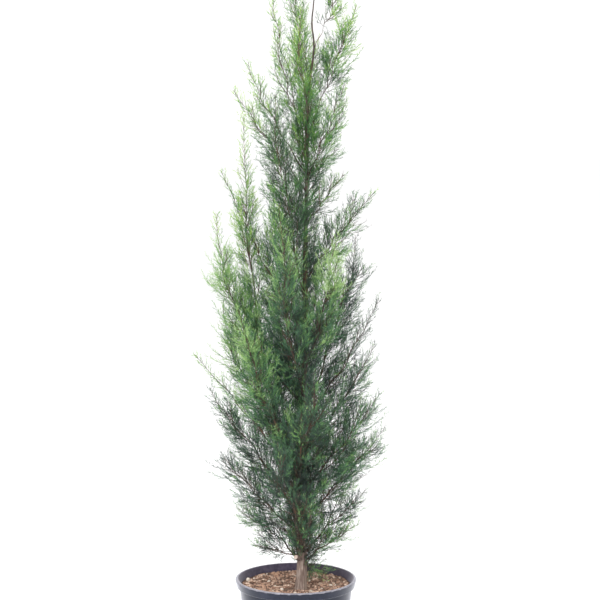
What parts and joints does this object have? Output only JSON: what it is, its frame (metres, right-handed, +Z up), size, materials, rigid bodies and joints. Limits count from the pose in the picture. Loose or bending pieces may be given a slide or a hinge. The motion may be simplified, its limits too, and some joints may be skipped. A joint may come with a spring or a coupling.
{
  "type": "potted cypress tree",
  "caption": "Slender columnar cypress with feathery upswept sprays of scale leaves, growing in a round black nursery pot.",
  "frame": {"origin": "centre of the pot's flat underside, on the surface that it stands on", "axes": "+Z up along the tree, -Y towards the front of the plant, +X to its right"},
  "size_m": [0.4506, 0.3663, 1.9],
  "materials": {
    "pot": "black injection-moulded nursery pot, satin, faintly blue where it catches the light",
    "soil": "moist brown bark mix with a few pale stones",
    "bark": "grey-brown bark in long fibrous strips, redder on the thin limbs",
    "foliage": "matt scale leaves, deep green inside the crown and yellow-green on the outer sprays"
  },
  "bodies": {
    "root": {"bough_left_foot": "bark", "bough_left_low": "bark", "bough_left_skirt": "bark", "bough_left_tall": "bark", "bough_right_bright": "bark", "bough_right_dark": "bark", "bough_right_foot": "bark", "bough_right_low": "bark", "bough_right_skirt": "bark", "bough_right_spread": "bark", "bough_top_left": "bark", "bough_top_right": "bark", "bough_top_right_inner": "bark", "bough_upper_left": "bark", "bough_upper_left_outer": "bark", "foliage_back_flank": "foliage", "foliage_back_low": "foliage", "foliage_back_right": "foliage", "foliage_back_rise": "foliage", "foliage_back_skirt": "foliage", "foliage_crown_tip": "foliage", "foliage_front_flank": "foliage", "foliage_front_left": "foliage", "foliage_front_low": "foliage", "foliage_front_skirt": "foliage", "foliage_left_flank": "foliage", "foliage_left_foot": "foliage", "foliage_left_high": "foliage", "foliage_left_low": "foliage", "foliage_left_middle": "foliage", "foliage_left_skirt": "foliage", "foliage_left_spread": "foliage", "foliage_left_tall": "foliage", "foliage_left_wisp": "foliage", "foliage_middle_back": "foliage", "foliage_middle_front": "foliage", "foliage_right_bright": "foliage", "foliage_right_dark": "foliage", "foliage_right_flank": "foliage", "foliage_right_foot": "foliage", "foliage_right_low": "foliage", "foliage_right_middle": "foliage", "foliage_right_rise": "foliage", "foliage_right_skirt": "foliage", "foliage_right_spread": "foliage", "foliage_top_back": "foliage", "foliage_top_front": "foliage", "foliage_top_left": "foliage", "foliage_top_left_inner": "foliage", "foliage_top_left_low": "foliage", "foliage_top_right": "foliage", "foliage_top_right_inner": "foliage", "foliage_upper_back": "foliage", "foliage_upper_front": "foliage", "foliage_upper_left": "foliage", "foliage_upper_left_outer": "foliage", "foliage_upper_right": "foliage", "pot": "pot", "soil": "soil", "trunk": "bark"}
  },
  "joints": []
}
